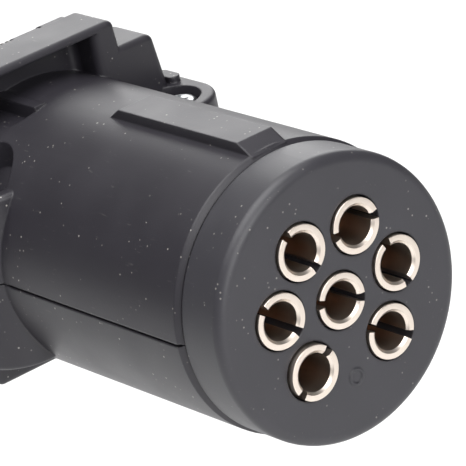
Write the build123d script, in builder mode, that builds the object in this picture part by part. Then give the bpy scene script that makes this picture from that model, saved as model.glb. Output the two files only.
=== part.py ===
from build123d import *

import os
from math import cos, radians, sin

# Trailer wiring adapter: a large round seven contact plug that turns into a
# small round seven pin socket with a sprung lid.
#
# Frame, in millimetres: the origin is the centre of the plug's contact face,
# +X points out of that face along the plug's axis, +Z points to the key.
# The socket opens to -X, and its lid hangs from a pin across the top.

# ---------------------------------------------------------------- plug end
BARREL_RADIUS = 19.0  # outside of the plug barrel
SHELL_BORE = 16.1  # bore that holds the contact block's stem
NOSE_RADIUS = 18.64  # the contact block's visible head
NOSE_LENGTH = 7.54  # from the contact face to the shells' rim
NOSE_ROUND = 1.35
RIM_GAP = 0.5  # open joint between the head and the rim
RIM_BEVEL = 0.7
SLIP = 0.15  # clearance of a moulded piece held by another

KEY_HALF_WIDTH = 2.78
KEY_HEIGHT = 1.15
KEY_FRONT = -8.36
KEY_FRONT_SLOPE = 2.7
KEY_BACK = -38.6
KEY_BACK_SLOPE = 2.4

# ---------------------------------------------------------------- housing
HOUSING_BACK = -65.3  # rear face, where the small socket opens
WING_FRONT = -45.8
WING_HALF_WIDTH = 22.0
WING_TOP = 11.8
WING_BOTTOM = -12.4
WING_CORNER = 7.0
WING_EDGE = 0.7
WING_WALL = 2.5  # walls of the pocket cored from under each wing
WING_FRONT_WALL = 4.65
WING_FLOOR = 3.5  # depth of that pocket's roof below the parting face
POCKET_CORNER = 1.8
WELL_X = -52.5  # round well that each screw's head sits in
WELL_Y = 15.3
WELL_RADIUS = 4.7
TUBE_RADIUS = 16.2  # outside of the socket's own wall, bared in the wells
LUG_LENGTH = 4.4  # small moulded lug on each wing
LUG_WIDTH = 1.8
LUG_HEIGHT = 0.9
LUG_START = -60.6

FLANGE_FRONT = -56.6
FLANGE_HALF_WIDTH = 18.9
FLANGE_TOP = 19.8
FLANGE_BOTTOM = -18.0
FLANGE_DRAFT = 1.0  # how much narrower each end of the flange is
FLANGE_CORNER = 1.2
SHOULDER = 11.0  # the flange's sides lean in above and below this height

CREST_HALF_WIDTH = 12.9  # block over the socket that carries the hinge ears
CREST_TOP = 23.9
CREST_DRAFT = 0.6
CREST_CORNER = 1.0
EDGE_ROUND = 0.8  # on the edges across the flange and the crest
CORE_HALF_WIDTH = 8.5  # pocket cored out of the crest's front
CORE_TOP = 22.9
CORE_DEPTH = 5.2
CORE_CORNER = 1.2

RIB_INNER = -3.7  # low rib that runs out of that pocket over the barrel
RIB_OUTER = -5.5
RIB_TOP = 18.85
RIB_END = -51.8
DIMPLE_X = -57.0  # round dimple beside the rib
DIMPLE_Y = -4.6
DIMPLE_RADIUS = 4.9
DIMPLE_FLOOR = 16.9

PARTING_GAP = 0.2  # between the two shells
SEAM_WIDTH = 0.4  # the seam's moulded relief on the barrel
SEAM_DEPTH = 0.45

# ---------------------------------------------------------------- contacts
PIN_DIAMETER = 5.0  # mating pins of the large round standard
CONTACT_WALL = 1.1
CONTACT_CIRCLE = 9.43
CONTACT_STEP = 55.0  # degrees between neighbours, the wide gap is at the bottom
CONTACT_SLOT = 1.0
CONTACT_SLOT_DEPTH = 12.0
CONTACT_BORE_DEPTH = 15.0
CONTACT_MOUTH = 0.3
CONTACT_RIM = 0.2  # chamfer round the outside of the mouth
CONTACT_PROUD = 0.35
CONTACT_LIFTED = 0.8  # the one contact that stands further out
CONTACT_HOLE_SLIP = 0.25
MARK_Z = -10.5  # small raised ring on the contact face
MARK_RADIUS = 1.15
MARK_WIDTH = 0.35
MARK_HEIGHT = 0.15
TAIL_RADIUS = 2.1
CUP_DEPTH = 3.6
WIRE_RADIUS = 1.1
CUP_SLIP = 0.05

STEM_BACK = -20.0  # back of the contact block
STEM_FLANGE_FRONT = -12.9
STEM_FLANGE_BACK = -16.1
STEM_FLANGE_HEIGHT = 1.5
LIP_GROOVE_DEPTH = 2.5
LIP_THICKNESS = 1.2
RETAINER_THICKNESS = 2.2
TAIL_BACK = -27.0
STOP_RIB_WIDTH = 3.0  # rib in the lower shell that stops a block turning

# ---------------------------------------------------------------- socket end
SOCKET_RADIUS = 14.4  # takes a small round plug of 28 mm
SOCKET_FLOOR = -45.2
SOCKET_KEY_HALF_WIDTH = 2.65
SOCKET_KEY_DEPTH = 1.4
SOCKET_KEY_END = -47.0
CARRIER_FRONT = -39.0
CARRIER_RADIUS = 16.2
CARRIER_STOP = 1.5
SMALL_PIN_RADIUS = 1.75
SMALL_PIN_CIRCLE = 7.1
SMALL_PIN_TIP = -60.5
SMALL_SHANK_RADIUS = 2.0  # the part of a pin held in the disc
SMALL_PIN_COLLAR = 0.55
SMALL_PIN_COLLAR_LENGTH = 2.5
SMALL_TAIL_FRONT = -34.0

# ---------------------------------------------------------------- screws
SCREW_X = -52.5
SCREW_Y = 17.0
SCREW_RADIUS = 1.5
SCREW_HEAD_RADIUS = 2.7
SCREW_HEAD_HEIGHT = 1.7
SCREW_SEAT = 9.4
SCREW_END = -9.0
SCREW_SLIP = 0.2
THREAD_SLIP = 0.05
BOSS_WALL = 1.2
RECESS_WIDTH = 0.55
RECESS_LENGTH = 3.0
RECESS_DEPTH = 0.9

# ---------------------------------------------------------------- lid and hinge
HINGE_X = HOUSING_BACK - 2.5
HINGE_Z = 20.5
HINGE_PIN_RADIUS = 1.5
HINGE_RUNNING = 0.06
EAR_RADIUS = 2.3
EAR_INNER = 7.7
EAR_OUTER = 11.6
KNUCKLE_RADIUS = 2.2
KNUCKLE_INNER = 3.1
HINGE_SIDE_GAP = 0.25
LID_THICKNESS = 2.2
LID_HALF_WIDTH = 16.9
LID_TOP = 17.3
LID_BOTTOM = -17.3
LID_CORNER = 5.0
LID_TAB_HALF_WIDTH = 6.0
LID_TAB_LENGTH = 3.2
LID_CROWN = 0.9
SEAL_INNER = 14.75
SEAL_WIDTH = 1.4
SEAL_SEATED = 0.45
SEAL_GAP = 0.15
HOOK_HALF_WIDTH = 2.2
HOOK_Z = 12.6
HOOK_THICKNESS = 1.6
HOOK_REACH = 3.2
HOOK_BARB = 0.9

SPRING_WIRE_RADIUS = 0.3
SPRING_COIL_RADIUS = 1.92
SPRING_TURNS = 6
SPRING_LENGTH = 5.0
SPRING_ANCHOR_DEPTH = 2.4  # hole in the crest for the leg that stays put
SPRING_LEG_BEND = 0.8
SPRING_BEAD_RADIUS = 0.36  # where each leg joins the coil
SPRING_LEG_GAP = 0.08
SPRING_LEG_END = 12.6

# ---------------------------------------------------------------- derived
RIM_X = -NOSE_LENGTH - RIM_GAP
STEM_RADIUS = SHELL_BORE - SLIP
STEM_FLANGE_RADIUS = STEM_RADIUS + STEM_FLANGE_HEIGHT
CONTACT_BORE = PIN_DIAMETER / 2
CONTACT_RADIUS = CONTACT_BORE + CONTACT_WALL
CONTACT_HOLE = CONTACT_RADIUS + CONTACT_HOLE_SLIP
RETAINER_FRONT = STEM_BACK - SLIP
RETAINER_BACK = RETAINER_FRONT - RETAINER_THICKNESS
CUP_RADIUS = WIRE_RADIUS + CUP_SLIP
LID_INNER_X = HINGE_X + LID_THICKNESS / 2
LID_OUTER_X = HINGE_X - LID_THICKNESS / 2
KNUCKLE_OUTER = EAR_INNER - HINGE_SIDE_GAP
POCKET_SIDE = WING_HALF_WIDTH - WING_WALL
POCKET_FRONT = WING_FRONT - WING_FRONT_WALL
BOSS_RADIUS = SCREW_RADIUS + BOSS_WALL
BEYOND = 2.0  # how far a cutter runs past the face it opens

# Ring contacts by angle from the key, +Y side first, each with the turn of its
# slots from +Y; the last one is the centre contact.
SLOT_TURNS = (4, -71, -30, 38, -46, -58, -14)
RING_ANGLES = [CONTACT_STEP * step for step in (0.5, 1.5, 2.5, -2.5, -1.5, -0.5)]
LIFTED_CONTACT = 3


def ring_places(radius):
    """(y, z) of the six ring places and the centre."""
    ring = [(radius * sin(radians(a)), radius * cos(radians(a))) for a in RING_ANGLES]
    return ring + [(0.0, 0.0)]


PLUG_PLACES = ring_places(CONTACT_CIRCLE)
SOCKET_PLACES = ring_places(SMALL_PIN_CIRCLE)


# Each helper draws one closed section and applies it to the part being built.
def turned(profile, mode=Mode.ADD):
    """Turn a closed outline of (x, radius) points about the plug's axis."""
    with BuildSketch(Plane.XZ) as outline:
        with BuildLine():
            Polyline(*profile, close=True)
        make_face()
    revolve(outline.sketch, axis=Axis.X, mode=mode)


def round_bars(x_from, x_to, radius, places=((0, 0),), mode=Mode.ADD):
    """Round bars along the plug's axis at the given (y, z) places."""
    with BuildSketch(Plane.YZ.offset(x_from)) as section:
        with Locations(*places):
            Circle(radius)
    extrude(section.sketch, amount=x_to - x_from, mode=mode)


def rounded_plate(x_from, x_to, half_width, bottom, top, corner, mode=Mode.ADD):
    """A plate across the plug's axis with rounded corners."""
    with BuildSketch(Plane.YZ.offset(x_from)) as section:
        with Locations((0, (bottom + top) / 2)):
            RectangleRounded(2 * half_width, top - bottom, corner)
    extrude(section.sketch, amount=x_to - x_from, mode=mode)


def block(x_range, y_range, z_range, mode=Mode.ADD):
    """A square block between two values on each axis."""
    with BuildSketch(Plane.XY.offset(z_range[0])) as base:
        with Locations((sum(x_range) / 2, sum(y_range) / 2)):
            Rectangle(x_range[1] - x_range[0], y_range[1] - y_range[0])
    extrude(base.sketch, amount=z_range[1] - z_range[0], mode=mode)


def side_profile(y_range, profile, mode=Mode.ADD):
    """A closed outline of (x, z) points, as thick as the y range."""
    with BuildSketch(Plane.XZ.offset(-y_range[1])) as outline:
        with BuildLine():
            Polyline(*profile, close=True)
        make_face()
    extrude(outline.sketch, amount=y_range[1] - y_range[0], mode=mode)


def cross_bar(y_range, radius, mode=Mode.ADD):
    """A round bar along the hinge's axis."""
    with BuildSketch(Plane.XZ.offset(-y_range[1])) as section:
        with Locations((HINGE_X, HINGE_Z)):
            Circle(radius)
    extrude(section.sketch, amount=y_range[1] - y_range[0], mode=mode)


def upright(x, y, z_range, radius, mode=Mode.ADD):
    """A round bar that stands along Z."""
    with BuildSketch(Plane.XY.offset(z_range[0])) as section:
        with Locations((x, y)):
            Circle(radius)
    extrude(section.sketch, amount=z_range[1] - z_range[0], mode=mode)


def tapered_plate(half_width, draft, bottom, top, corner):
    """The flange's and crest's section: sides that lean in towards the top."""
    with BuildSketch(Plane.YZ.offset(HOUSING_BACK)) as section:
        with BuildLine():
            FilletPolyline(
                (half_width, bottom),
                (half_width - draft, top),
                (draft - half_width, top),
                (-half_width, bottom),
                radius=corner,
            )
            Line((-half_width, bottom), (half_width, bottom))
        make_face()
    extrude(section.sketch, amount=FLANGE_FRONT - HOUSING_BACK)


def cut_wings():
    """Round wells for the screws' heads above, cored pockets below."""
    with BuildSketch(Plane.XY.offset(-WING_FLOOR)) as pocket:
        with Locations(((POCKET_FRONT + FLANGE_FRONT) / 2, 0)):
            RectangleRounded(
                POCKET_FRONT - FLANGE_FRONT, 2 * POCKET_SIDE, POCKET_CORNER
            )
    extrude(pocket.sketch, amount=WING_BOTTOM + WING_FLOOR, mode=Mode.SUBTRACT)
    for side in (-1, 1):
        upright(
            WELL_X,
            side * WELL_Y,
            (SCREW_SEAT, BARREL_RADIUS),
            WELL_RADIUS,
            mode=Mode.SUBTRACT,
        )


def lugs_and_ears():
    """A moulded lug on each wing, and the ears that carry the hinge pin."""
    for side in (-1, 1):
        with BuildSketch(Plane.XY.offset(WING_TOP - LUG_HEIGHT)) as lug:
            lug_y = side * (WELL_Y + WELL_RADIUS)
            with Locations((LUG_START + LUG_LENGTH / 2, lug_y)):
                SlotOverall(LUG_LENGTH, LUG_WIDTH)
        extrude(lug.sketch, amount=2 * LUG_HEIGHT)
        ear_y = sorted((side * EAR_INNER, side * EAR_OUTER))
        root = HOUSING_BACK + BEYOND
        cross_bar(ear_y, EAR_RADIUS)
        block(
            (HINGE_X, root), ear_y, (HINGE_Z - EAR_RADIUS, HINGE_Z + EAR_RADIUS)
        )


def housing():
    """Outside and inside of the whole housing, before it is parted."""
    add(wing_block.part)
    turned(
        (
            (RIM_X, 0),
            (RIM_X, BARREL_RADIUS - RIM_BEVEL),
            (RIM_X - RIM_BEVEL, BARREL_RADIUS),
            (HOUSING_BACK, BARREL_RADIUS),
            (HOUSING_BACK, 0),
        )
    )
    cut_wings()
    add(flange_block.part)
    lugs_and_ears()
    with BuildSketch(Plane.XY.offset(DIMPLE_FLOOR)) as dimple:
        with Locations((DIMPLE_X, DIMPLE_Y)):
            Circle(DIMPLE_RADIUS)
        with Locations((DIMPLE_X, RIB_OUTER + DIMPLE_RADIUS)):
            Rectangle(3 * DIMPLE_RADIUS, 2 * DIMPLE_RADIUS, mode=Mode.SUBTRACT)
    extrude(dimple.sketch, amount=CORE_TOP - DIMPLE_FLOOR, mode=Mode.SUBTRACT)
    block(
        (FLANGE_FRONT - CORE_DEPTH, RIB_END),
        (RIB_OUTER, RIB_INNER),
        (TUBE_RADIUS, RIB_TOP),
    )
    key_top = BARREL_RADIUS + KEY_HEIGHT
    key_root = BARREL_RADIUS - BEYOND
    side_profile(
        (-KEY_HALF_WIDTH, KEY_HALF_WIDTH),
        (
            (KEY_FRONT, key_root),
            (KEY_FRONT, BARREL_RADIUS - RIM_BEVEL / 2),
            (KEY_FRONT - KEY_FRONT_SLOPE, key_top),
            (KEY_BACK + KEY_BACK_SLOPE, key_top),
            (KEY_BACK, BARREL_RADIUS - RIM_BEVEL / 2),
            (KEY_BACK, key_root),
        ),
    )
    for side in (-1, 1):
        upright(SCREW_X, side * SCREW_Y, (SCREW_END - 1, SCREW_SEAT), BOSS_RADIUS)
    round_bars(WING_FRONT, FLANGE_FRONT, TUBE_RADIUS)
    turned(
        (
            (RIM_X + BEYOND, 0),
            (RIM_X + BEYOND, SHELL_BORE),
            (STEM_FLANGE_FRONT + SLIP, SHELL_BORE),
            (STEM_FLANGE_FRONT + SLIP, STEM_FLANGE_RADIUS + SLIP),
            (STEM_FLANGE_BACK - SLIP, STEM_FLANGE_RADIUS + SLIP),
            (STEM_FLANGE_BACK - SLIP, SHELL_BORE),
            (CARRIER_FRONT + CARRIER_STOP, SHELL_BORE),
            (CARRIER_FRONT + CARRIER_STOP, SOCKET_RADIUS),
            (CARRIER_FRONT + SLIP, SOCKET_RADIUS),
            (CARRIER_FRONT + SLIP, CARRIER_RADIUS + SLIP),
            (SOCKET_FLOOR, CARRIER_RADIUS + SLIP),
            (SOCKET_FLOOR, SOCKET_RADIUS),
            (HOUSING_BACK - BEYOND, SOCKET_RADIUS),
            (HOUSING_BACK - BEYOND, 0),
        ),
        mode=Mode.SUBTRACT,
    )
    lip_outer = SHELL_BORE + LIP_THICKNESS
    turned(
        (
            (RIM_X - 1, SHELL_BORE),
            (RIM_X + LIP_GROOVE_DEPTH, SHELL_BORE),
            (RIM_X + LIP_GROOVE_DEPTH, lip_outer),
            (RIM_X - 1, lip_outer),
        )
    )
    for x_range, radius in (
        ((STEM_FLANGE_BACK - SLIP, STEM_FLANGE_FRONT + SLIP), STEM_FLANGE_RADIUS),
        ((SOCKET_FLOOR, CARRIER_FRONT + SLIP), CARRIER_RADIUS),
    ):
        block(
            x_range,
            (-STOP_RIB_WIDTH / 2, STOP_RIB_WIDTH / 2),
            (-radius - 1, -radius + 1),
        )
    block(
        (HOUSING_BACK - BEYOND, SOCKET_KEY_END),
        (-SOCKET_KEY_HALF_WIDTH, SOCKET_KEY_HALF_WIDTH),
        (0, SOCKET_RADIUS + SOCKET_KEY_DEPTH),
        mode=Mode.SUBTRACT,
    )
    for side in (-1, 1):
        screw_y = side * SCREW_Y
        upright(
            SCREW_X,
            screw_y,
            (SCREW_SEAT, BARREL_RADIUS),
            SCREW_HEAD_RADIUS + SCREW_SLIP,
            mode=Mode.SUBTRACT,
        )
        upright(
            SCREW_X,
            screw_y,
            (0, SCREW_SEAT),
            SCREW_RADIUS + SCREW_SLIP,
            mode=Mode.SUBTRACT,
        )
        upright(
            SCREW_X,
            screw_y,
            (SCREW_END - SLIP, 0),
            SCREW_RADIUS + THREAD_SLIP,
            mode=Mode.SUBTRACT,
        )
        seam_y = sorted(
            (side * (BARREL_RADIUS - SEAM_DEPTH), side * (BARREL_RADIUS + 1))
        )
        block(
            (WING_FRONT, RIM_X),
            seam_y,
            (-SEAM_WIDTH / 2, SEAM_WIDTH / 2),
            mode=Mode.SUBTRACT,
        )
    cross_bar((-EAR_OUTER - 1, EAR_OUTER + 1), HINGE_PIN_RADIUS, mode=Mode.SUBTRACT)
    round_bars(
        HOUSING_BACK - 1,
        HOUSING_BACK + SPRING_ANCHOR_DEPTH,
        SPRING_WIRE_RADIUS + SLIP,
        ((SPRING_LENGTH / 2, HINGE_Z + SPRING_COIL_RADIUS),),
        mode=Mode.SUBTRACT,
    )


def save(piece, label):
    """Label a finished piece and write it as its own file."""
    piece.label = label
    export_step(piece, f"parts/{label}.step")


os.makedirs("parts", exist_ok=True)

# Side wings that carry the screws, and the flange with the crest above it,
# rounded before the housing takes them in.
with BuildPart() as wing_block:
    with BuildSketch(Plane.XY.offset(WING_BOTTOM)):
        with BuildLine():
            FilletPolyline(
                (HOUSING_BACK, -WING_HALF_WIDTH),
                (WING_FRONT, -WING_HALF_WIDTH),
                (WING_FRONT, WING_HALF_WIDTH),
                (HOUSING_BACK, WING_HALF_WIDTH),
                radius=WING_CORNER,
            )
            Line((HOUSING_BACK, WING_HALF_WIDTH), (HOUSING_BACK, -WING_HALF_WIDTH))
        make_face()
    extrude(amount=WING_TOP - WING_BOTTOM)
    for end in (0, -1):
        rim = wing_block.edges().group_by(Axis.Z)[end]
        fillet(rim.filter_by(lambda e: e.center().X > HOUSING_BACK + 1), WING_EDGE)

with BuildPart() as flange_block:
    tapered_plate(
        FLANGE_HALF_WIDTH, FLANGE_DRAFT, SHOULDER, FLANGE_TOP, FLANGE_CORNER
    )
    tapered_plate(
        FLANGE_HALF_WIDTH, FLANGE_DRAFT, -SHOULDER, FLANGE_BOTTOM, FLANGE_CORNER
    )
    block(
        (HOUSING_BACK, FLANGE_FRONT),
        (-FLANGE_HALF_WIDTH, FLANGE_HALF_WIDTH),
        (-SHOULDER, SHOULDER),
    )
    tapered_plate(CREST_HALF_WIDTH, CREST_DRAFT, SHOULDER, CREST_TOP, CREST_CORNER)
    across = flange_block.edges().filter_by(Axis.Y).group_by(Axis.Z)
    fillet(across[-1] + across[-2] + across[0], EDGE_ROUND)
    core_back = FLANGE_FRONT - CORE_DEPTH
    flare = CORE_HALF_WIDTH + CORE_CORNER + 1
    with BuildSketch(Plane.XY.offset(CORE_TOP)) as core:
        with BuildLine():
            FilletPolyline(
                (FLANGE_FRONT, -flare),
                (FLANGE_FRONT, -CORE_HALF_WIDTH),
                (core_back, -CORE_HALF_WIDTH),
                (core_back, CORE_HALF_WIDTH),
                (FLANGE_FRONT, CORE_HALF_WIDTH),
                (FLANGE_FRONT, flare),
                radius=CORE_CORNER,
            )
            Polyline(
                (FLANGE_FRONT, flare),
                (FLANGE_FRONT + 1, flare),
                (FLANGE_FRONT + 1, -flare),
                (FLANGE_FRONT, -flare),
            )
        make_face()
    extrude(core.sketch, amount=-CORE_TOP, mode=Mode.SUBTRACT)
    round_bars(HOUSING_BACK, FLANGE_FRONT, BARREL_RADIUS)

# Two clamshell halves, parted on the plane of the plug's axis.
with BuildPart() as upper_shell:
    housing()
    split(bisect_by=Plane.XY.offset(PARTING_GAP / 2), keep=Keep.TOP)
save(upper_shell.part, "upper_shell")

with BuildPart() as lower_shell:
    housing()
    split(bisect_by=Plane.XY.offset(-PARTING_GAP / 2), keep=Keep.BOTTOM)
save(lower_shell.part, "lower_shell")

# Contact block: a head that shows, a stem in the shells' bore, and a flange
# that the shells trap. The head's groove holds the shells' front lips together.
with BuildPart() as front_insulator:
    turned(
        (
            (0, 0),
            (0, NOSE_RADIUS),
            (-NOSE_LENGTH, NOSE_RADIUS),
            (-NOSE_LENGTH, STEM_RADIUS),
            (STEM_FLANGE_FRONT, STEM_RADIUS),
            (STEM_FLANGE_FRONT, STEM_FLANGE_RADIUS),
            (STEM_FLANGE_BACK, STEM_FLANGE_RADIUS),
            (STEM_FLANGE_BACK, STEM_RADIUS),
            (STEM_BACK, STEM_RADIUS),
            (STEM_BACK, 0),
        )
    )
    face_edge = front_insulator.edges().filter_by(GeomType.CIRCLE).sort_by(Axis.X)[-1]
    fillet(face_edge, NOSE_ROUND)
    turned(
        (
            (-NOSE_LENGTH - 1, STEM_RADIUS),
            (-NOSE_LENGTH + LIP_GROOVE_DEPTH, STEM_RADIUS),
            (-NOSE_LENGTH + LIP_GROOVE_DEPTH, SHELL_BORE + LIP_THICKNESS + SLIP),
            (-NOSE_LENGTH - 1, SHELL_BORE + LIP_THICKNESS + SLIP),
        ),
        mode=Mode.SUBTRACT,
    )
    round_bars(-1, MARK_HEIGHT, MARK_RADIUS, ((0, MARK_Z),))
    round_bars(
        0, BEYOND, MARK_RADIUS - MARK_WIDTH, ((0, MARK_Z),), mode=Mode.SUBTRACT
    )
    round_bars(
        STEM_BACK - 1, BEYOND, CONTACT_HOLE, PLUG_PLACES, mode=Mode.SUBTRACT
    )
    block(
        (STEM_FLANGE_BACK - 1, STEM_FLANGE_FRONT + 1),
        (-STOP_RIB_WIDTH / 2 - SLIP, STOP_RIB_WIDTH / 2 + SLIP),
        (-STEM_FLANGE_RADIUS - BEYOND, -STEM_RADIUS - SLIP / 2),
        mode=Mode.SUBTRACT,
    )
save(front_insulator.part, "front_insulator")

# Backing plate that keeps the contacts from being pushed in.
with BuildPart() as contact_retainer:
    round_bars(RETAINER_BACK, RETAINER_FRONT, STEM_RADIUS)
    round_bars(
        RETAINER_BACK - 1,
        RETAINER_FRONT + 1,
        TAIL_RADIUS + SLIP,
        PLUG_PLACES,
        mode=Mode.SUBTRACT,
    )
save(contact_retainer.part, "contact_retainer")

# Split tube contacts with a solder cup behind.
for number, (place, turn) in enumerate(zip(PLUG_PLACES, SLOT_TURNS)):
    proud = CONTACT_LIFTED if number == LIFTED_CONTACT else CONTACT_PROUD
    with BuildPart() as female_contact:
        round_bars(STEM_BACK, proud, CONTACT_RADIUS, (place,))
        round_bars(TAIL_BACK, STEM_BACK, TAIL_RADIUS, (place,))
        rims = female_contact.edges().filter_by(GeomType.CIRCLE)
        chamfer(rims.sort_by(Axis.X)[-1], CONTACT_RIM)
        round_bars(
            -CONTACT_BORE_DEPTH, BEYOND, CONTACT_BORE, (place,), mode=Mode.SUBTRACT
        )
        rims = female_contact.edges().filter_by(GeomType.CIRCLE)
        mouth = rims.group_by(Axis.X)[-1].sort_by(SortBy.RADIUS)[0]
        chamfer(mouth, CONTACT_MOUTH)
        with BuildSketch(Plane.YZ.offset(proud - CONTACT_SLOT_DEPTH)) as slot:
            with Locations(Location(place, turn)):
                Rectangle(2 * CONTACT_RADIUS + 1, CONTACT_SLOT)
        extrude(amount=CONTACT_SLOT_DEPTH + 1, mode=Mode.SUBTRACT)
        round_bars(
            TAIL_BACK - 1, TAIL_BACK + CUP_DEPTH, CUP_RADIUS, (place,), Mode.SUBTRACT
        )
    save(female_contact.part, f"female_contact_{number + 1}")

# Disc that carries the small socket's pins.
with BuildPart() as rear_insulator:
    round_bars(SOCKET_FLOOR + SLIP, CARRIER_FRONT, CARRIER_RADIUS)
    collar_radius = SMALL_SHANK_RADIUS + SMALL_PIN_COLLAR
    round_bars(
        SOCKET_FLOOR - 1,
        CARRIER_FRONT + 1,
        SMALL_SHANK_RADIUS + SLIP / 2,
        SOCKET_PLACES,
        mode=Mode.SUBTRACT,
    )
    round_bars(
        CARRIER_FRONT - SMALL_PIN_COLLAR_LENGTH - SLIP,
        CARRIER_FRONT + 1,
        collar_radius + SLIP,
        SOCKET_PLACES,
        mode=Mode.SUBTRACT,
    )
    block(
        (SOCKET_FLOOR - 1, CARRIER_FRONT + 1),
        (-STOP_RIB_WIDTH / 2 - SLIP, STOP_RIB_WIDTH / 2 + SLIP),
        (-CARRIER_RADIUS - 1, -CARRIER_RADIUS + 1 + SLIP),
        mode=Mode.SUBTRACT,
    )
save(rear_insulator.part, "rear_insulator")

# Small socket pins: bullet tip, collar in the disc and a solder cup in front.
for number, place in enumerate(SOCKET_PLACES):
    with BuildPart() as male_pin:
        round_bars(SMALL_PIN_TIP, SMALL_TAIL_FRONT, SMALL_PIN_RADIUS, (place,))
        tip = male_pin.edges().filter_by(GeomType.CIRCLE).sort_by(Axis.X)[0]
        fillet(tip, SMALL_PIN_RADIUS * 0.7)
        round_bars(
            SOCKET_FLOOR + SLIP, CARRIER_FRONT, SMALL_SHANK_RADIUS, (place,)
        )
        round_bars(
            CARRIER_FRONT - SMALL_PIN_COLLAR_LENGTH,
            CARRIER_FRONT,
            collar_radius,
            (place,),
        )
        round_bars(
            SMALL_TAIL_FRONT - CUP_DEPTH,
            SMALL_TAIL_FRONT + 1,
            CUP_RADIUS,
            (place,),
            Mode.SUBTRACT,
        )
    save(male_pin.part, f"male_pin_{number + 1}")

# Short insulated wires from each plug contact to the pin of the same angle.
WIRE_FRONT = TAIL_BACK + CUP_DEPTH - CUP_SLIP
WIRE_BACK = SMALL_TAIL_FRONT - CUP_DEPTH + CUP_SLIP
BEND_FRONT = TAIL_BACK - 1.2
BEND_BACK = SMALL_TAIL_FRONT + 1.2
WIRE_BEND = 2.2
for number, place in enumerate(PLUG_PLACES):
    with BuildPart() as jumper_wire:
        if number < len(RING_ANGLES):
            turn = Plane.XZ.rotated((-RING_ANGLES[number], 0, 0))
            with BuildLine(turn) as route:
                FilletPolyline(
                    (WIRE_FRONT, CONTACT_CIRCLE),
                    (BEND_FRONT, CONTACT_CIRCLE),
                    (BEND_BACK, SMALL_PIN_CIRCLE),
                    (WIRE_BACK, SMALL_PIN_CIRCLE),
                    radius=WIRE_BEND,
                )
            with BuildSketch(Plane(route.line @ 0, z_dir=route.line % 0)):
                Circle(WIRE_RADIUS)
            sweep(path=route.line)
        else:
            round_bars(WIRE_BACK, WIRE_FRONT, WIRE_RADIUS, (place,))
    save(jumper_wire.part, f"jumper_wire_{number + 1}")

# The two pan head screws that close the shells.
with BuildPart() as shell_screws:
    for side in (-1, 1):
        screw_y = side * SCREW_Y
        upright(SCREW_X, screw_y, (SCREW_END, SCREW_SEAT), SCREW_RADIUS)
        upright(
            SCREW_X,
            screw_y,
            (SCREW_SEAT, SCREW_SEAT + SCREW_HEAD_HEIGHT),
            SCREW_HEAD_RADIUS,
        )
    head_rims = shell_screws.edges().filter_by(GeomType.CIRCLE).group_by(Axis.Z)[-1]
    fillet(head_rims, SCREW_HEAD_HEIGHT * 0.6)
    recess_z = SCREW_SEAT + SCREW_HEAD_HEIGHT - RECESS_DEPTH
    with BuildSketch(Plane.XY.offset(recess_z)):
        for side in (-1, 1):
            for turn in (45, 135):
                with Locations(Location((SCREW_X, side * SCREW_Y), turn)):
                    Rectangle(RECESS_LENGTH, RECESS_WIDTH)
    extrude(amount=RECESS_DEPTH + 1, mode=Mode.SUBTRACT)
save(shell_screws.part, "shell_screws")

# Lid: a crowned plate with two knuckles, a thumb tab, a seal groove and the
# hook that holds a plug in.
with BuildPart() as lid:
    rounded_plate(
        LID_OUTER_X, LID_INNER_X, LID_HALF_WIDTH, LID_BOTTOM, LID_TOP, LID_CORNER
    )
    rounded_plate(
        LID_OUTER_X - LID_CROWN,
        LID_OUTER_X,
        LID_HALF_WIDTH - 2,
        LID_BOTTOM + 2,
        LID_TOP - 2,
        LID_CORNER - 1,
    )
    for side in (-1, 1):
        arm_y = sorted((side * KNUCKLE_INNER, side * KNUCKLE_OUTER))
        block((LID_OUTER_X, LID_INNER_X), arm_y, (LID_TOP - BEYOND, HINGE_Z))
        cross_bar(arm_y, KNUCKLE_RADIUS)
    tab_y = (-LID_TAB_HALF_WIDTH, LID_TAB_HALF_WIDTH)
    tab_end = LID_BOTTOM - LID_TAB_LENGTH
    side_profile(
        tab_y,
        (
            (LID_INNER_X, LID_BOTTOM + BEYOND),
            (LID_INNER_X, LID_BOTTOM),
            (LID_INNER_X - LID_THICKNESS, tab_end),
            (LID_OUTER_X - LID_THICKNESS, tab_end),
            (LID_OUTER_X, LID_BOTTOM + BEYOND),
        ),
    )
    hook_top = HOOK_Z + HOOK_THICKNESS
    hook_tip = LID_INNER_X + HOOK_REACH
    side_profile(
        (-HOOK_HALF_WIDTH, HOOK_HALF_WIDTH),
        (
            (LID_INNER_X - 1, HOOK_Z),
            (hook_tip - HOOK_BARB, HOOK_Z),
            (hook_tip - HOOK_BARB, HOOK_Z - HOOK_BARB),
            (hook_tip, HOOK_Z),
            (hook_tip, hook_top - HOOK_BARB),
            (hook_tip - HOOK_BARB, hook_top),
            (LID_INNER_X - 1, hook_top),
        ),
    )
    seal_outer = SEAL_INNER + SEAL_WIDTH
    turned(
        (
            (LID_INNER_X + 1, SEAL_INNER - SLIP),
            (LID_INNER_X + 1, seal_outer + SLIP),
            (LID_INNER_X - SEAL_SEATED, seal_outer + SLIP),
            (LID_INNER_X - SEAL_SEATED, SEAL_INNER - SLIP),
        ),
        mode=Mode.SUBTRACT,
    )
    cross_bar(
        (-EAR_OUTER, EAR_OUTER), HINGE_PIN_RADIUS + HINGE_RUNNING, Mode.SUBTRACT
    )
save(lid.part, "lid")

with BuildPart() as lid_seal:
    turned(
        (
            (HOUSING_BACK - SEAL_GAP, SEAL_INNER),
            (HOUSING_BACK - SEAL_GAP, seal_outer),
            (LID_INNER_X - SEAL_SEATED, seal_outer),
            (LID_INNER_X - SEAL_SEATED, SEAL_INNER),
        )
    )
save(lid_seal.part, "lid_seal")

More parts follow.
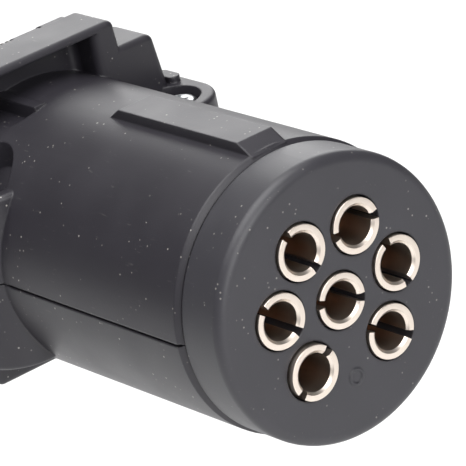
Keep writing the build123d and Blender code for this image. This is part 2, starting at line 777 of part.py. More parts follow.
with BuildPart() as hinge_pin:
    cross_bar((-EAR_OUTER, EAR_OUTER), HINGE_PIN_RADIUS)
    chamfer(hinge_pin.edges().filter_by(GeomType.CIRCLE), HINGE_PIN_RADIUS / 5)
save(hinge_pin.part, "hinge_pin")

# Torsion spring: a close coil on the pin with one leg in the crest's anchor
# hole and one that bears on the back of the lid.
with BuildPart() as lid_spring:
    coil = Helix(
        pitch=SPRING_LENGTH / SPRING_TURNS,
        height=SPRING_LENGTH,
        radius=SPRING_COIL_RADIUS,
        center=(HINGE_X, -SPRING_LENGTH / 2, HINGE_Z),
        direction=(0, 1, 0),
        mode=Mode.PRIVATE,
    )
    with BuildSketch(Plane(coil @ 0, z_dir=coil % 0)):
        Circle(SPRING_WIRE_RADIUS)
    sweep(path=coil, is_frenet=True)
    round_bars(
        HINGE_X,
        HOUSING_BACK + SPRING_ANCHOR_DEPTH - SLIP,
        SPRING_WIRE_RADIUS,
        ((SPRING_LENGTH / 2, HINGE_Z + SPRING_COIL_RADIUS),),
    )
    leg_y = -SPRING_LENGTH / 2
    leg_top = HINGE_Z + SPRING_COIL_RADIUS
    with Locations((HINGE_X, leg_y, leg_top), (HINGE_X, -leg_y, leg_top)):
        Sphere(SPRING_BEAD_RADIUS)
    leg_x = LID_OUTER_X - LID_CROWN - SPRING_WIRE_RADIUS - SPRING_LEG_GAP
    with BuildLine(Plane.XZ.offset(-leg_y)) as leg:
        FilletPolyline(
            (HINGE_X, leg_top),
            (leg_x, leg_top),
            (leg_x, SPRING_LEG_END),
            radius=SPRING_LEG_BEND,
        )
    with BuildSketch(Plane(leg.line @ 0, z_dir=leg.line % 0)):
        Circle(SPRING_WIRE_RADIUS)
    sweep(path=leg.line)
save(lid_spring.part, "lid_spring")
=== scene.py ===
"""Looks of a trailer wiring connector, built round its fixed CAD frame.

Each piece or group of like pieces has its own operator; the stage has one too.
Lengths are metres, as in the frame; a value times MM was given in millimetres.
"""

import math

import bmesh
import bpy
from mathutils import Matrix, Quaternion, Vector


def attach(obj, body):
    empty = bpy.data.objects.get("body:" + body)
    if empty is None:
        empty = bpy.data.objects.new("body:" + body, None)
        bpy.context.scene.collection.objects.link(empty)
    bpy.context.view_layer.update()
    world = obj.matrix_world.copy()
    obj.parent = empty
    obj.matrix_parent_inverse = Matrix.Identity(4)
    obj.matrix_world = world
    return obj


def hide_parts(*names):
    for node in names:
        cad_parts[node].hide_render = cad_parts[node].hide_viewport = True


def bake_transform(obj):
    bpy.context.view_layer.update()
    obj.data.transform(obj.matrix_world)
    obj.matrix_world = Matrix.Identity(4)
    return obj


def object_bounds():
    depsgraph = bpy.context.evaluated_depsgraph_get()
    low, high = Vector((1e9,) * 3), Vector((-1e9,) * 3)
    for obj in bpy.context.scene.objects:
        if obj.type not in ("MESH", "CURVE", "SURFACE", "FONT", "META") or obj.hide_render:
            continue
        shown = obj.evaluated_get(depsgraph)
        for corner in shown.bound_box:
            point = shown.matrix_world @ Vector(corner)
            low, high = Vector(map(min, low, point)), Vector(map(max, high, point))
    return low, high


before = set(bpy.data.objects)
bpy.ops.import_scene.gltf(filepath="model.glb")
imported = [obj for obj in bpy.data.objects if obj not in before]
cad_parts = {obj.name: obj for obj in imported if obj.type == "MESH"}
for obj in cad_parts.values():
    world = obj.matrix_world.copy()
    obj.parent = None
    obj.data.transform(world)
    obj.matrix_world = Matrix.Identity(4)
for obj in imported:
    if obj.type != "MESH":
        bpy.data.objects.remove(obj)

bl_info = {
    "name": "Trailer Wiring Connector",
    "version": (1, 0, 0),
    "blender": (4, 5, 0),
    "location": "3D View > Sidebar > Connector",
    "description": "Builds the visible pieces and finishes of a round trailer wiring connector",
    "category": "Object",
}

MM = 0.001
CAD_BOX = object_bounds()
HOUSING = "housing"

# Places of the seven contacts and pins: six on a ring, by angle from the key,
# and one in the centre.
RING_ANGLES = (27.5, 82.5, 137.5, -137.5, -82.5, -27.5)
CONTACT_CIRCLE = 9.43 * MM
PIN_CIRCLE = 7.1 * MM
SLOT_TURNS = (4, -71, -30, 38, -46, -58, -14)

# One contact stands further out of the contact block than the others.
LIFTED_CONTACT = 3
PROUD = 0.35 * MM
LIFTED_PROUD = 0.8 * MM

# Depth of the solder cup in the tail of a contact or a pin, and its radius.
CUP_DEPTH = 3.6 * MM
CUP_RADIUS = 1.15 * MM

# The lid's hinge, and the faces that the spring's two legs lie on.
HINGE_X = -67.8 * MM
HINGE_Z = 20.5 * MM
LID_BACK = -70.18 * MM
LID_LEG_END = 12.6 * MM
HOUSING_LEG_END = -63.05 * MM

FLOOR_DROP = 0.06
WIRE_COLOURS = ("yellow", "black", "white", "green", "blue", "red", "brown")


# ------------------------------------------------------------------ helpers
def linear(hex_colour):
    """An sRGB hex colour as linear RGBA."""
    channels = [int(hex_colour[i:i + 2], 16) / 255 for i in (1, 3, 5)]
    return [
        c / 12.92 if c <= 0.04045 else ((c + 0.055) / 1.055) ** 2.4 for c in channels
    ] + [1.0]


def shaded(hex_colour, factor):
    """The same colour made darker or lighter by a factor."""
    return [c * factor for c in linear(hex_colour)[:3]] + [1.0]


def add_node(tree, kind, settings=None, inputs=None, links=None):
    """Add a node, set its properties and sockets, and link sockets from other nodes."""
    node = tree.nodes.new(kind)
    for key, value in (settings or {}).items():
        setattr(node, key, value)
    for key, value in (inputs or {}).items():
        node.inputs[key].default_value = value
    for key, source in (links or {}).items():
        tree.links.new(source, node.inputs[key])
    return node


def new_material(name):
    """An empty node material with its output, and object coordinates."""
    material = bpy.data.materials.new(name)
    material.use_nodes = True
    tree = material.node_tree
    tree.nodes.clear()
    output = add_node(tree, "ShaderNodeOutputMaterial")
    coordinates = add_node(tree, "ShaderNodeTexCoord").outputs["Object"]
    return material, tree, output, coordinates


def dress(node_name, material):
    """Give a carried-over CAD node its finished material."""
    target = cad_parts[node_name]
    target.data.materials.clear()
    target.data.materials.append(material)


def link_object(name, data):
    """A new object in the scene at the origin."""
    made = bpy.data.objects.new(name, data)
    bpy.context.scene.collection.objects.link(made)
    return made


def ring_places(radius):
    """(y, z) of the six ring places and the centre."""
    ring = [(radius * math.sin(math.radians(a)), radius * math.cos(math.radians(a)))
            for a in RING_ANGLES]
    return ring + [(0.0, 0.0)]


# ---------------------------------------------------------------- materials
def moulded_nylon(name, colour, roughness, grain_mm, dust):
    """Injection moulded glass filled nylon: charcoal, with a fine satin grain.

    The eye gets a soft broad sheen, faint cloudiness from the flow of the
    melt, edges that are slightly rounded, fine scuffs and pale specks of dust.
    The grain is drawn coarser than the real one so that it shows.
    """
    material, tree, output, place = new_material(name)
    cloud = add_node(tree, "ShaderNodeTexNoise", inputs={"Scale": 1 / (7 * MM), "Detail": 4.0},
                     links={"Vector": place})
    grain = add_node(tree, "ShaderNodeTexNoise",
                     inputs={"Scale": 1 / (grain_mm * MM), "Detail": 3.0},
                     links={"Vector": place})
    specks = add_node(tree, "ShaderNodeTexVoronoi",
                      inputs={"Scale": 1 / (1.1 * MM), "Randomness": 1.0},
                      links={"Vector": place})
    speck_here = add_node(tree, "ShaderNodeMapRange",
                          inputs={"From Min": 0.14, "From Max": 0.08, "To Max": dust},
                          links={"Value": specks.outputs["Distance"]})
    where = add_node(tree, "ShaderNodeTexNoise", inputs={"Scale": 1 / (4 * MM), "Detail": 2.0},
                     links={"Vector": place})
    dusty_area = add_node(tree, "ShaderNodeMapRange",
                          inputs={"From Min": 0.5, "From Max": 0.62},
                          links={"Value": where.outputs["Fac"]})
    speck = add_node(tree, "ShaderNodeMath", settings={"operation": "MULTIPLY"},
                     links={0: speck_here.outputs["Result"], 1: dusty_area.outputs["Result"]})
    stretch = add_node(tree, "ShaderNodeMapping",
                       inputs={"Scale": (1.0, 5.0, 7.0), "Rotation": (0.4, 0.3, 0.7)},
                       links={"Vector": place})
    streak = add_node(tree, "ShaderNodeTexNoise", inputs={"Scale": 1 / (2.4 * MM), "Detail": 5.0},
                      links={"Vector": stretch.outputs["Vector"]})
    scuff = add_node(tree, "ShaderNodeMapRange",
                     inputs={"From Min": 0.67, "From Max": 0.76, "To Max": dust * 0.25},
                     links={"Value": streak.outputs["Fac"]})
    base = add_node(tree, "ShaderNodeMix", settings={"data_type": "RGBA"},
                    inputs={6: shaded(colour, 0.8), 7: shaded(colour, 1.12)},
                    links={0: cloud.outputs["Fac"]})
    scuffed = add_node(tree, "ShaderNodeMix", settings={"data_type": "RGBA"},
                       inputs={7: linear("#8E8C88")},
                       links={0: scuff.outputs["Result"], 6: base.outputs[2]})
    dusty = add_node(tree, "ShaderNodeMix", settings={"data_type": "RGBA"},
                     inputs={7: linear("#C4C0B8")},
                     links={0: speck.outputs[0], 6: scuffed.outputs[2]})
    rough = add_node(tree, "ShaderNodeMapRange",
                     inputs={"To Min": roughness - 0.06, "To Max": roughness + 0.08},
                     links={"Value": cloud.outputs["Fac"]})
    edge = add_node(tree, "ShaderNodeBevel", settings={"samples": 6}, inputs={"Radius": 0.4 * MM})
    bump = add_node(tree, "ShaderNodeBump", inputs={"Strength": 0.3, "Distance": 0.03 * MM},
                    links={"Height": grain.outputs["Fac"], "Normal": edge.outputs["Normal"]})
    shader = add_node(tree, "ShaderNodeBsdfPrincipled", inputs={"IOR": 1.5},
                      links={"Base Color": dusty.outputs[2], "Roughness": rough.outputs["Result"],
                             "Normal": bump.outputs["Normal"]})
    tree.links.new(shader.outputs[0], output.inputs["Surface"])
    return material


def plated_metal(name, colour, roughness, line_mm, painted_bore_shade=False):
    """Turned or drawn metal with a thin plating.

    The eye gets a bright warm or cool mirror that is broken by fine tool lines
    and by slightly duller patches where the plating is thin. Where asked, a
    painted shade makes a contact's bore darker and browner the further it lies
    behind the face.
    """
    material, tree, output, place = new_material(name)
    lines = add_node(tree, "ShaderNodeTexNoise",
                     inputs={"Scale": 1 / (line_mm * MM), "Detail": 2.0},
                     links={"Vector": place})
    patch = add_node(tree, "ShaderNodeTexNoise", inputs={"Scale": 1 / (1.5 * MM), "Detail": 3.0},
                     links={"Vector": place})
    tone = add_node(tree, "ShaderNodeMix", settings={"data_type": "RGBA"},
                    inputs={6: shaded(colour, 0.86), 7: linear(colour)},
                    links={0: patch.outputs["Fac"]})
    # Painted shade: from 1.4 mm to 4 mm behind the face the colour turns darker and browner,
    # standing in for the shade inside a contact's bore.
    if painted_bore_shade:
        along = add_node(tree, "ShaderNodeSeparateXYZ", links={0: place})
        bore_shade_mask = add_node(tree, "ShaderNodeMapRange",
                         inputs={"From Min": -1.4 * MM, "From Max": -4.0 * MM},
                         links={"Value": along.outputs["X"]})
        tone = add_node(tree, "ShaderNodeMix", settings={"data_type": "RGBA"},
                        inputs={7: linear("#C2AD9C")},
                        links={0: bore_shade_mask.outputs["Result"], 6: tone.outputs[2]})
    rough = add_node(tree, "ShaderNodeMapRange",
                     inputs={"To Min": roughness - 0.05, "To Max": roughness + 0.08},
                     links={"Value": patch.outputs["Fac"]})
    bump = add_node(tree, "ShaderNodeBump", inputs={"Strength": 0.15, "Distance": 0.01 * MM},
                    links={"Height": lines.outputs["Fac"]})
    shader = add_node(tree, "ShaderNodeBsdfPrincipled", inputs={"Metallic": 1.0},
                      links={"Base Color": tone.outputs[2], "Roughness": rough.outputs["Result"],
                             "Normal": bump.outputs["Normal"]})
    tree.links.new(shader.outputs[0], output.inputs["Surface"])
    return material


def soft_polymer(name, colour, roughness, grain_mm):
    """Moulded nitrile rubber or extruded PVC: even in colour, with a low sheen."""
    material, tree, output, place = new_material(name)
    grain = add_node(tree, "ShaderNodeTexNoise",
                     inputs={"Scale": 1 / (grain_mm * MM), "Detail": 3.0},
                     links={"Vector": place})
    tone = add_node(tree, "ShaderNodeMix", settings={"data_type": "RGBA"},
                    inputs={6: shaded(colour, 0.85), 7: shaded(colour, 1.1)},
                    links={0: grain.outputs["Fac"]})
    bump = add_node(tree, "ShaderNodeBump", inputs={"Strength": 0.2, "Distance": 0.02 * MM},
                    links={"Height": grain.outputs["Fac"]})
    shader = add_node(tree, "ShaderNodeBsdfPrincipled",
                      inputs={"IOR": 1.5, "Roughness": roughness},
                      links={"Base Color": tone.outputs[2], "Normal": bump.outputs["Normal"]})
    tree.links.new(shader.outputs[0], output.inputs["Surface"])
    return material


# ----------------------------------------------------------- geometry nodes
def new_tree(name, *inputs):
    """A Geometry Nodes tree with its geometry sockets and the named inputs."""
    tree = bpy.data.node_groups.new(name, "GeometryNodeTree")
    face = tree.interface
    face.new_socket(name="Geometry", in_out="INPUT", socket_type="NodeSocketGeometry")
    for label, kind in inputs:
        face.new_socket(name=label, in_out="INPUT", socket_type=kind)
    face.new_socket(name="Geometry", in_out="OUTPUT", socket_type="NodeSocketGeometry")
    return tree, tree.nodes.new("NodeGroupInput"), tree.nodes.new("NodeGroupOutput")


def finish_tree(tree, entry, output, geometry):
    """Close a tree: instances made real geometry, and one material."""
    real = add_node(tree, "GeometryNodeRealizeInstances", links={0: geometry})
    coloured = add_node(tree, "GeometryNodeSetMaterial",
                        links={"Geometry": real.outputs[0], "Material": entry.outputs["Material"]})
    tree.links.new(coloured.outputs[0], output.inputs[0])


def repeat_tree():
    """One piece repeated on every point, turned about X by the point's own value."""
    tree, entry, output = new_tree("repeat_on_points", ("Piece", "NodeSocketObject"),
                                   ("Material", "NodeSocketMaterial"))
    piece = add_node(tree, "GeometryNodeObjectInfo", links={"Object": entry.outputs["Piece"]})
    turn = add_node(tree, "GeometryNodeInputNamedAttribute", settings={"data_type": "FLOAT"},
                    inputs={"Name": "turn"})
    rotation = add_node(tree, "ShaderNodeCombineXYZ", links={"X": turn.outputs[0]})
    placed = add_node(tree, "GeometryNodeInstanceOnPoints",
                      links={"Points": entry.outputs["Geometry"],
                             "Instance": piece.outputs["Geometry"],
                             "Rotation": rotation.outputs[0]})
    finish_tree(tree, entry, output, placed.outputs[0])
    return tree


def wire_tree():
    """Round wire along a path, closed at both ends."""
    tree, entry, output = new_tree("wire_along_path", ("Wire Radius", "NodeSocketFloat"),
                                   ("Material", "NodeSocketMaterial"))
    section = add_node(tree, "GeometryNodeCurvePrimitiveCircle", inputs={"Resolution": 14},
                       links={"Radius": entry.outputs["Wire Radius"]})
    wire = add_node(tree, "GeometryNodeCurveToMesh", inputs={"Fill Caps": True},
                    links={"Curve": entry.outputs["Geometry"],
                           "Profile Curve": section.outputs["Curve"]})
    smooth = add_node(tree, "GeometryNodeSetShadeSmooth", links={"Geometry": wire.outputs[0]})
    finish_tree(tree, entry, output, smooth.outputs[0])
    return tree


def grown(name, source, tree, values):
    """Run a tree on a source object and return its result as a plain mesh object."""
    modifier = source.modifiers.new(name, "NODES")
    modifier.node_group = tree
    for item in tree.interface.items_tree:
        if item.item_type == "SOCKET" and item.in_out == "INPUT" and item.name in values:
            modifier[item.identifier] = values[item.name]
    source.update_tag()
    bpy.context.view_layer.update()
    evaluated = source.evaluated_get(bpy.context.evaluated_depsgraph_get())
    mesh = bpy.data.meshes.new_from_object(evaluated)
    if not mesh.polygons:
        raise RuntimeError(f"{name} came out empty")
    source.modifiers.remove(modifier)
    bpy.data.objects.remove(source)
    mesh.name = name
    return link_object(name, mesh)


def settle(piece, nodes, body=HOUSING):
    """Hide the CAD nodes that a new piece stands for, and attach the piece to its body if one is
    given.
    """
    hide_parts(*nodes)
    if body:
        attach(piece, body)


def points_object(name, places, turns):
    """One loose vertex for each place, with the turn that its piece takes."""
    mesh = bpy.data.meshes.new(name)
    mesh.from_pydata(places, [], [])
    turn = mesh.attributes.new("turn", "FLOAT", "POINT")
    turn.data.foreach_set("value", [math.radians(t) for t in turns])
    return link_object(name, mesh)


# ------------------------------------------------------------ turned shapes
def swept_ring(built, profile, start, sweep, steps):
    """Sweep a closed (x, radius) outline round X, capped where it isn't a full turn."""
    whole = sweep >= 2 * math.pi - 1e-6
    rings = []
    for step in range(steps if whole else steps + 1):
        angle = start + sweep * step / steps
        rings.append([built.verts.new((x, r * math.cos(angle), r * math.sin(angle)))
                      for x, r in profile])
    count = len(profile)
    for index in range(steps):
        here, there = rings[index], rings[(index + 1) % len(rings)]
        for side in range(count):
            other = (side + 1) % count
            built.faces.new((here[side], there[side], there[other], here[other]))
    if not whole:
        built.faces.new(rings[0])
        built.faces.new(reversed(rings[-1]))


def finished_mesh(name, built):
    """Merge doubles at the poles, turn the faces outwards and smooth by angle."""
    bmesh.ops.remove_doubles(built, verts=built.verts, dist=1e-7)
    bmesh.ops.dissolve_degenerate(built, edges=built.edges, dist=1e-8)
    bmesh.ops.recalc_face_normals(built, faces=built.faces)
    mesh = bpy.data.meshes.new(name)
    built.to_mesh(mesh)
    built.free()
    mesh.shade_smooth()
    mesh.set_sharp_from_angle(angle=math.radians(40))
    return mesh


def arc_points(centre, radius, start, end, steps):
    """Points of an arc in the (x, radius) plane; angles in degrees from +x."""
    angles = [math.radians(start + (end - start) * i / steps) for i in range(steps + 1)]
    return [(centre[0] + radius * math.cos(a), centre[1] + radius * math.sin(a)) for a in angles]


# --------------------------------------------------------------- properties
class ConnectorFinish(bpy.types.PropertyGroup):
    """Colours and sheen of the connector's finishes."""

    housing_colour: bpy.props.StringProperty(
        name="Housing", description="sRGB hex colour of the moulded housing", default="#26242A")
    insulator_colour: bpy.props.StringProperty(
        name="Insulator", description="sRGB hex colour of the contact block", default="#323136")
    plating_colour: bpy.props.StringProperty(
        name="Plating", description="sRGB hex colour of the nickel plated contacts",
        default="#E9DDD1")
    housing_roughness: bpy.props.FloatProperty(
        name="Housing Roughness", description="Roughness of the moulded housing", default=0.42,
        min=0.0, max=1.0)
    insulator_roughness: bpy.props.FloatProperty(
        name="Insulator Roughness", description="Roughness of the contact block", default=0.42,
        min=0.0, max=1.0)


class ConnectorContacts(bpy.types.PropertyGroup):
    """Sizes of the split tube contacts and of the socket's pins."""

    tube_radius: bpy.props.FloatProperty(
        name="Tube Radius", description="Outside of a contact", default=3.6 * MM, unit="LENGTH")
    bore_radius: bpy.props.FloatProperty(
        name="Bore Radius", description="Inside of a contact", default=2.5 * MM, unit="LENGTH")
    slot_width: bpy.props.FloatProperty(
        name="Slot Width", description="Width of a contact's slots", default=1.0 * MM,
        unit="LENGTH")
    mouth: bpy.props.FloatProperty(
        name="Mouth", description="Chamfer inside a contact's mouth", default=0.3 * MM,
        unit="LENGTH")
    pin_radius: bpy.props.FloatProperty(
        name="Pin Radius", description="Radius of a socket pin", default=1.75 * MM, unit="LENGTH")


class ConnectorSpring(bpy.types.PropertyGroup):
    """Sizes of the lid's torsion spring."""

    wire_radius: bpy.props.FloatProperty(
        name="Wire Radius", description="Half the wire's thickness", default=0.3 * MM,
        unit="LENGTH")
    coil_radius: bpy.props.FloatProperty(
        name="Coil Radius", description="From the hinge's axis to the wire's middle",
        default=1.92 * MM, unit="LENGTH")
    turns: bpy.props.IntProperty(
        name="Turns", description="Number of turns in the coil", default=6)
    length: bpy.props.FloatProperty(
        name="Length", description="Length of the coil along the hinge", default=5.0 * MM,
        unit="LENGTH")


class ConnectorStage(bpy.types.PropertyGroup):
    """Camera and floor."""

    azimuth: bpy.props.FloatProperty(
        name="Azimuth", description="Camera's turn round the object", default=math.radians(56.8),
        subtype="ANGLE")
    elevation: bpy.props.FloatProperty(
        name="Elevation", description="Camera's height above the horizon",
        default=math.radians(21.9), subtype="ANGLE")
    roll: bpy.props.FloatProperty(
        name="Roll", description="Camera's clockwise roll", default=math.radians(12.4),
        subtype="ANGLE")
    distance: bpy.props.FloatProperty(
        name="Distance", description="From the camera to the point it looks at", default=0.45,
        unit="LENGTH")
    lens: bpy.props.FloatProperty(
        name="Lens", description="Focal length in millimetres", default=283.2)
    aim: bpy.props.FloatVectorProperty(
        name="Aim", description="Point that the camera looks at",
        default=(-0.00957, -0.00704, 0.0101), unit="LENGTH")


# ---------------------------------------------------------------- operators
class CONNECTOR_OT_stage(bpy.types.Operator):
    """Make the floor, the soft studio lights and the camera"""

    bl_idname = "connector.stage"
    bl_label = "Stage"

    def execute(self, context):
        stage = context.scene.connector_stage
        back = Vector((
            math.sin(stage.azimuth) * math.cos(stage.elevation),
            -math.cos(stage.azimuth) * math.cos(stage.elevation),
            math.sin(stage.elevation),
        ))
        camera = link_object("camera", bpy.data.cameras.new("camera"))
        camera.data.lens = stage.lens
        camera.data.clip_start = 0.01
        camera.location = Vector(stage.aim) + back * stage.distance
        camera.rotation_mode = "QUATERNION"
        level = (-back).to_track_quat("-Z", "Y")
        camera.rotation_quaternion = level @ Quaternion((0, 0, 1), -stage.roll)
        context.scene.camera = camera
        self.floor()
        self.lights()
        self.surroundings(context)
        return {"FINISHED"}

    def floor(self):
        """A pale floor well under the part, so that no hard shadow lies on it."""
        size = 1.5
        height = CAD_BOX[0].z - FLOOR_DROP
        mesh = bpy.data.meshes.new("floor")
        mesh.from_pydata([(-size, -size, height), (size, -size, height),
                          (size, size, height), (-size, size, height)], [], [(0, 1, 2, 3)])
        floor = link_object("floor", mesh)
        material, tree, output, _ = new_material("pale_paper")
        shader = add_node(tree, "ShaderNodeBsdfPrincipled",
                          inputs={"Base Color": linear("#EAEAEA"), "Roughness": 0.9})
        tree.links.new(shader.outputs[0], output.inputs["Surface"])
        mesh.materials.append(material)

    def lights(self):
        """Soft boxes overhead, low in front and behind the part."""
        for name, place, size, power in (
            ("softbox_top", (-0.02, -0.1, 0.49), 0.55, 4.5),
            ("softbox_front", (0.42, -0.08, 0.2), 0.35, 1.9),
            ("softbox_back", (-0.45, 0.35, 0.25), 0.4, 1.6),
        ):
            lamp = bpy.data.lights.new(name, "AREA")
            lamp.shape = "SQUARE"
            lamp.size = size
            lamp.energy = power
            light = link_object(name, lamp)
            light.location = place
            towards = Vector((-0.03, 0, 0)) - light.location
            light.rotation_mode = "QUATERNION"
            light.rotation_quaternion = towards.to_track_quat("-Z", "Y")

    def surroundings(self, context):
        """White paper to the camera, and a dimmer even light on the part."""
        world = bpy.data.worlds.new("studio")
        world.use_nodes = True
        tree = world.node_tree
        tree.nodes.clear()
        seen = add_node(tree, "ShaderNodeLightPath").outputs["Is Camera Ray"]
        white = add_node(tree, "ShaderNodeBackground",
                         inputs={"Color": (1, 1, 1, 1), "Strength": 1.0})
        fill = add_node(tree, "ShaderNodeBackground",
                        inputs={"Color": (1, 1, 1, 1), "Strength": 0.15})
        mix = add_node(tree, "ShaderNodeMixShader",
                       links={0: seen, 1: fill.outputs[0], 2: white.outputs[0]})
        output = add_node(tree, "ShaderNodeOutputWorld")
        tree.links.new(mix.outputs[0], output.inputs["Surface"])
        context.scene.world = world
        context.scene.view_settings.view_transform = "Standard"


class CONNECTOR_OT_housing(bpy.types.Operator):
    """Finish the two shells, the lid and its seal"""

    bl_idname = "connector.housing"
    bl_label = "Housing and Lid"

    def execute(self, context):
        finish = context.scene.connector_finish
        nylon = moulded_nylon("moulded_nylon_housing", finish.housing_colour,
                              finish.housing_roughness, 0.22, 0.5)
        for name in ("upper_shell", "lower_shell", "lid"):
            dress(name, nylon)
        dress("lid_seal", soft_polymer("moulded_nitrile_rubber", "#1D1D1E", 0.6, 0.3))
        return {"FINISHED"}


class CONNECTOR_OT_insulators(bpy.types.Operator):
    """Finish the contact block, its backing plate and the socket's disc"""

    bl_idname = "connector.insulators"
    bl_label = "Insulators"

    def execute(self, context):
        finish = context.scene.connector_finish
        nylon = moulded_nylon("moulded_nylon_insulator", finish.insulator_colour,
                              finish.insulator_roughness, 0.3, 0.35)
        for name in ("front_insulator", "contact_retainer", "rear_insulator"):
            dress(name, nylon)
        return {"FINISHED"}


class CONNECTOR_OT_contacts(bpy.types.Operator):
    """Make the seven split tube contacts and the seven socket pins"""

    bl_idname = "connector.contacts"
    bl_label = "Contacts and Pins"

    def execute(self, context):
        size = context.scene.connector_contacts
        finish = context.scene.connector_finish
        # The contacts' material carries painted shade inside the bores.
        nickel = plated_metal("nickel_plated_brass_painted_bore_shade", finish.plating_colour, 0.32, 0.1,
                              painted_bore_shade=True)
        plain_nickel = plated_metal("nickel_plated_pin", finish.plating_colour, 0.2, 0.1)
        repeat = repeat_tree()
        places = ring_places(CONTACT_CIRCLE)
        for label, chosen, proud in (
            ("split_contacts", [i for i in range(7) if i != LIFTED_CONTACT], PROUD),
            ("raised_contact", [LIFTED_CONTACT], LIFTED_PROUD),
        ):
            pattern = link_object("contact_pattern", self.contact(size, proud))
            points = points_object(label + "_points", [(0, *places[i]) for i in chosen],
                                   [SLOT_TURNS[i] for i in chosen])
            piece = grown(label, points, repeat, {"Piece": pattern, "Material": nickel})
            bpy.data.objects.remove(pattern)
            settle(piece, [f"female_contact_{i + 1}" for i in chosen])
        pattern = link_object("pin_pattern", self.pin(size))
        places = ring_places(PIN_CIRCLE)
        points = points_object("pin_points", [(0, *place) for place in places], [0] * 7)
        piece = grown("socket_pins", points, repeat, {"Piece": pattern, "Material": plain_nickel})
        bpy.data.objects.remove(pattern)
        settle(piece, [f"male_pin_{i}" for i in range(1, 8)])
        return {"FINISHED"}

    def contact(self, size, proud):
        """Two half tubes with a rounded rim, on a turned body with a solder cup."""
        outer, bore, mouth = size.tube_radius, size.bore_radius, size.mouth
        rim, lip = 0.08 * MM, 0.05 * MM
        slot_end = proud - 12.0 * MM
        built = bmesh.new()
        outline = [(slot_end, outer)]
        outline += arc_points((proud - rim, outer - rim), rim, 90, 0, 5)
        outline += [(proud, bore + mouth + lip), (proud - lip, bore + mouth),
                    (proud - mouth, bore), (slot_end, bore)]
        gap = math.asin(size.slot_width / (outer + bore))
        for half in (0, math.pi):
            swept_ring(built, outline, half + gap, math.pi - 2 * gap, 40)
        back, floor = -20.0 * MM, -15.0 * MM
        tail_back, tail = -27.0 * MM, 2.1 * MM
        cup_floor = tail_back + CUP_DEPTH
        swept_ring(built, [
            (slot_end, bore), (slot_end, outer), (back, outer), (back, tail),
            (tail_back, tail), (tail_back, CUP_RADIUS), (cup_floor, CUP_RADIUS), (cup_floor, 0),
            (floor, 0), (floor, bore)], 0, 2 * math.pi, 48)
        return finished_mesh("contact_pattern", built)

    def pin(self, size):
        """A turned pin with a bullet tip, a collar in the disc and a solder cup."""
        radius, shank, collar = size.pin_radius, 2.0 * MM, 2.55 * MM
        tip, tail = -60.5 * MM, -34.0 * MM
        front, back = -39.0 * MM, -45.05 * MM
        step = front - 2.5 * MM
        nose = radius * 0.7
        outline = [(tip, 0)]
        outline += arc_points((tip + nose, radius - nose), nose, 180, 90, 8)
        outline += [(back, radius), (back, shank), (step, shank), (step, collar),
                    (front, collar), (front, radius), (tail, radius), (tail, CUP_RADIUS),
                    (tail - CUP_DEPTH, CUP_RADIUS), (tail - CUP_DEPTH, 0)]
        built = bmesh.new()
        swept_ring(built, outline, 0, 2 * math.pi, 40)
        return finished_mesh("pin_pattern", built)


class CONNECTOR_OT_wires(bpy.types.Operator):
    """Finish the seven short wires, each in its circuit's colour"""

    bl_idname = "connector.wires"
    bl_label = "Wires"

    def execute(self, context):
        tints = {"yellow": "#E0B31F", "black": "#1C1C1C", "white": "#E4E4E0", "green": "#2E7D3A",
                 "blue": "#23509B", "red": "#B0201E", "brown": "#6A4022"}
        for number, colour in enumerate(WIRE_COLOURS, 1):
            dress(f"jumper_wire_{number}",
                  soft_polymer(f"extruded_pvc_{colour}", tints[colour], 0.4, 0.25))
        return {"FINISHED"}


class CONNECTOR_OT_fasteners(bpy.types.Operator):
    """Finish the shell screws and the hinge pin"""

    bl_idname = "connector.fasteners"
    bl_label = "Screws and Hinge Pin"

    def execute(self, context):
        zinc = plated_metal("bright_zinc_plated_steel", "#D9DBDD", 0.28, 0.12)
        for name in ("shell_screws", "hinge_pin"):
            dress(name, zinc)
        return {"FINISHED"}


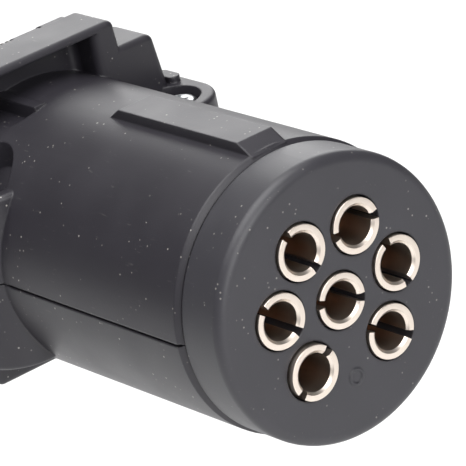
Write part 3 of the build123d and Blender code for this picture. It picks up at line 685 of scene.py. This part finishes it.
class CONNECTOR_OT_spring(bpy.types.Operator):
    """Wind the lid's torsion spring, which twists from the housing to the lid"""

    bl_idname = "connector.spring"
    bl_label = "Lid Spring"

    def execute(self, context):
        size = context.scene.connector_spring
        axis = Vector((HINGE_X, 0, HINGE_Z))
        half = size.length / 2
        top = axis.z + size.coil_radius
        bend = 0.8 * MM
        path = [(LID_BACK, -half, LID_LEG_END), (LID_BACK, -half, top - bend)]
        for step in range(1, 9):
            angle = math.radians(180 - 90 * step / 8)
            path.append((LID_BACK + bend + bend * math.cos(angle), -half,
                         top - bend + bend * math.sin(angle)))
        steps = 28 * size.turns
        for step in range(steps + 1):
            angle = 2 * math.pi * size.turns * step / steps
            path.append((axis.x + size.coil_radius * math.sin(angle),
                         -half + size.length * step / steps,
                         axis.z + size.coil_radius * math.cos(angle)))
        path.append((HOUSING_LEG_END, half, top))
        curve = bpy.data.curves.new("spring_path", "CURVE")
        curve.dimensions = "3D"
        spline = curve.splines.new("POLY")
        spline.points.add(len(path) - 1)
        for point, place in zip(spline.points, path):
            point.co = (*place, 1.0)
        steel = plated_metal("drawn_spring_steel", "#B4B2AE", 0.3, 0.1)
        spring = grown("lid_torsion_spring", link_object("spring_path", curve), wire_tree(),
                       {"Wire Radius": size.wire_radius, "Material": steel})
        settle(spring, ["lid_spring"], body=None)
        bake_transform(spring)
        return {"FINISHED"}


class CONNECTOR_PT_panel(bpy.types.Panel):
    """Sidebar panel that lists the connector's operators"""

    bl_idname = "CONNECTOR_PT_panel"
    bl_label = "Trailer Wiring Connector"
    bl_space_type = "VIEW_3D"
    bl_region_type = "UI"
    bl_category = "Connector"

    def draw(self, context):
        for operator in OPERATORS:
            self.layout.operator(operator.bl_idname)


OPERATORS = (
    CONNECTOR_OT_stage,
    CONNECTOR_OT_housing,
    CONNECTOR_OT_insulators,
    CONNECTOR_OT_contacts,
    CONNECTOR_OT_wires,
    CONNECTOR_OT_fasteners,
    CONNECTOR_OT_spring,
)
GROUPS = {
    "connector_finish": ConnectorFinish,
    "connector_contacts": ConnectorContacts,
    "connector_spring": ConnectorSpring,
    "connector_stage": ConnectorStage,
}
CLASSES = (*GROUPS.values(), *OPERATORS, CONNECTOR_PT_panel)


def register():
    for each in CLASSES:
        bpy.utils.register_class(each)
    for name, group in GROUPS.items():
        setattr(bpy.types.Scene, name, bpy.props.PointerProperty(type=group))


def unregister():
    for name in GROUPS:
        delattr(bpy.types.Scene, name)
    for each in reversed(CLASSES):
        bpy.utils.unregister_class(each)


def main():
    register()
    bpy.ops.connector.stage()
    bpy.ops.connector.housing()
    bpy.ops.connector.insulators()
    bpy.ops.connector.contacts()
    bpy.ops.connector.wires()
    bpy.ops.connector.fasteners()
    bpy.ops.connector.spring()


if __name__ == "__main__":
    main()
